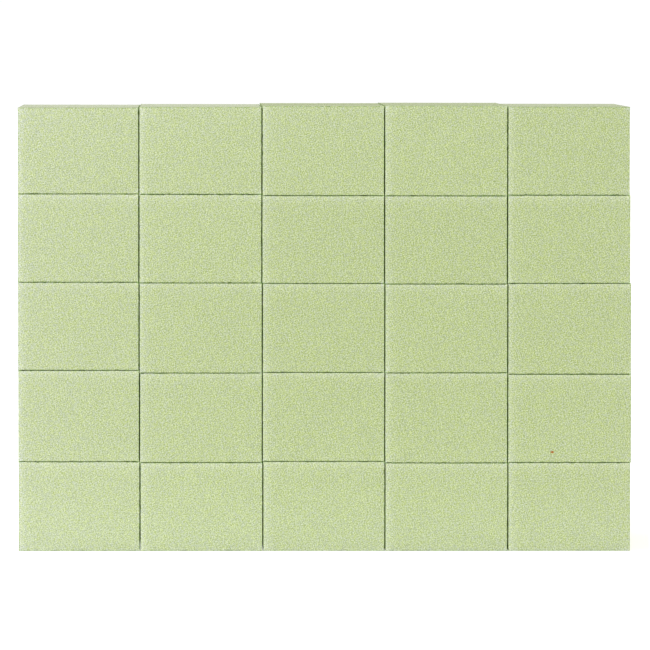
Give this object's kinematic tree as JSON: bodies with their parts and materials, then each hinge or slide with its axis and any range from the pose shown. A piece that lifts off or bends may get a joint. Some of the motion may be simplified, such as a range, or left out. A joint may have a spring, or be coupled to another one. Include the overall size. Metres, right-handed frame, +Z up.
{
  "type": "floral foam brick stack",
  "caption": "Stack of loose dry floral foam bricks, fine-celled pale green blocks with crumbly cut edges, standing in columns with their ends to the front, for holding cut flower stems.",
  "frame": {"origin": "bottom centre of the stack's bounding box, on the surface that the stack stands on", "axes": "+X along the width of the stack to the right as seen from its front, +Y along the bricks' length from the front ends to the back ends, +Z up"},
  "size_m": [0.5576, 0.231, 0.4053],
  "materials": {
    "foam": "dry open-cell phenolic foam, matte and dusty, pale yellow-green"
  },
  "bodies": {
    "brick_column3_row1": {"brick_column3_row1": "foam"},
    "brick_column1_row1": {"brick_column1_row1": "foam"},
    "brick_column1_row2": {"brick_column1_row2": "foam"},
    "brick_column1_row3": {"brick_column1_row3": "foam"},
    "brick_column1_row4": {"brick_column1_row4": "foam"},
    "brick_column1_row5": {"brick_column1_row5": "foam"},
    "brick_column2_row1": {"brick_column2_row1": "foam"},
    "brick_column2_row2": {"brick_column2_row2": "foam"},
    "brick_column2_row3": {"brick_column2_row3": "foam"},
    "brick_column2_row4": {"brick_column2_row4": "foam"},
    "brick_column2_row5": {"brick_column2_row5": "foam"},
    "brick_column3_row2": {"brick_column3_row2": "foam"},
    "brick_column3_row3": {"brick_column3_row3": "foam"},
    "brick_column3_row4": {"brick_column3_row4": "foam"},
    "brick_column3_row5": {"brick_column3_row5": "foam"},
    "brick_column4_row1": {"brick_column4_row1": "foam"},
    "brick_column4_row2": {"brick_column4_row2": "foam"},
    "brick_column4_row3": {"brick_column4_row3": "foam"},
    "brick_column4_row4": {"brick_column4_row4": "foam"},
    "brick_column4_row5": {"brick_column4_row5": "foam"},
    "brick_column5_row1": {"brick_column5_row1": "foam"},
    "brick_column5_row2": {"brick_column5_row2": "foam"},
    "brick_column5_row3": {"brick_column5_row3": "foam"},
    "brick_column5_row4": {"brick_column5_row4": "foam"},
    "brick_column5_row5": {"brick_column5_row5": "foam"}
  },
  "joints": [
    {"name": "column2_slide", "type": "slide", "parent": "brick_column3_row1", "child": "brick_column2_row1", "axis": [-1, 0, 0], "range_m": [0, 0.12]},
    {"name": "column1_slide", "type": "slide", "parent": "brick_column2_row1", "child": "brick_column1_row1", "axis": [-1, 0, 0], "range_m": [0, 0.12]},
    {"name": "column4_slide", "type": "slide", "parent": "brick_column3_row1", "child": "brick_column4_row1", "axis": [1, 0, 0], "range_m": [0, 0.12]},
    {"name": "column5_slide", "type": "slide", "parent": "brick_column4_row1", "child": "brick_column5_row1", "axis": [1, 0, 0], "range_m": [0, 0.12]},
    {"name": "lift_column1_row2", "type": "slide", "parent": "brick_column1_row1", "child": "brick_column1_row2", "axis": [0, 0, 1], "range_m": [0, 0.09]},
    {"name": "lift_column1_row3", "type": "slide", "parent": "brick_column1_row2", "child": "brick_column1_row3", "axis": [0, 0, 1], "range_m": [0, 0.09]},
    {"name": "lift_column1_row4", "type": "slide", "parent": "brick_column1_row3", "child": "brick_column1_row4", "axis": [0, 0, 1], "range_m": [0, 0.09]},
    {"name": "lift_column1_row5", "type": "slide", "parent": "brick_column1_row4", "child": "brick_column1_row5", "axis": [0, 0, 1], "range_m": [0, 0.09]},
    {"name": "lift_column2_row2", "type": "slide", "parent": "brick_column2_row1", "child": "brick_column2_row2", "axis": [0, 0, 1], "range_m": [0, 0.09]},
    {"name": "lift_column2_row3", "type": "slide", "parent": "brick_column2_row2", "child": "brick_column2_row3", "axis": [0, 0, 1], "range_m": [0, 0.09]},
    {"name": "lift_column2_row4", "type": "slide", "parent": "brick_column2_row3", "child": "brick_column2_row4", "axis": [0, 0, 1], "range_m": [0, 0.09]},
    {"name": "lift_column2_row5", "type": "slide", "parent": "brick_column2_row4", "child": "brick_column2_row5", "axis": [0, 0, 1], "range_m": [0, 0.09]},
    {"name": "lift_column3_row2", "type": "slide", "parent": "brick_column3_row1", "child": "brick_column3_row2", "axis": [0, 0, 1], "range_m": [0, 0.09]},
    {"name": "lift_column3_row3", "type": "slide", "parent": "brick_column3_row2", "child": "brick_column3_row3", "axis": [0, 0, 1], "range_m": [0, 0.09]},
    {"name": "lift_column3_row4", "type": "slide", "parent": "brick_column3_row3", "child": "brick_column3_row4", "axis": [0, 0, 1], "range_m": [0, 0.09]},
    {"name": "lift_column3_row5", "type": "slide", "parent": "brick_column3_row4", "child": "brick_column3_row5", "axis": [0, 0, 1], "range_m": [0, 0.09]},
    {"name": "lift_column4_row2", "type": "slide", "parent": "brick_column4_row1", "child": "brick_column4_row2", "axis": [0, 0, 1], "range_m": [0, 0.09]},
    {"name": "lift_column4_row3", "type": "slide", "parent": "brick_column4_row2", "child": "brick_column4_row3", "axis": [0, 0, 1], "range_m": [0, 0.09]},
    {"name": "lift_column4_row4", "type": "slide", "parent": "brick_column4_row3", "child": "brick_column4_row4", "axis": [0, 0, 1], "range_m": [0, 0.09]},
    {"name": "lift_column4_row5", "type": "slide", "parent": "brick_column4_row4", "child": "brick_column4_row5", "axis": [0, 0, 1], "range_m": [0, 0.09]},
    {"name": "lift_column5_row2", "type": "slide", "parent": "brick_column5_row1", "child": "brick_column5_row2", "axis": [0, 0, 1], "range_m": [0, 0.09]},
    {"name": "lift_column5_row3", "type": "slide", "parent": "brick_column5_row2", "child": "brick_column5_row3", "axis": [0, 0, 1], "range_m": [0, 0.09]},
    {"name": "lift_column5_row4", "type": "slide", "parent": "brick_column5_row3", "child": "brick_column5_row4", "axis": [0, 0, 1], "range_m": [0, 0.09]},
    {"name": "lift_column5_row5", "type": "slide", "parent": "brick_column5_row4", "child": "brick_column5_row5", "axis": [0, 0, 1], "range_m": [0, 0.09]}
  ]
}
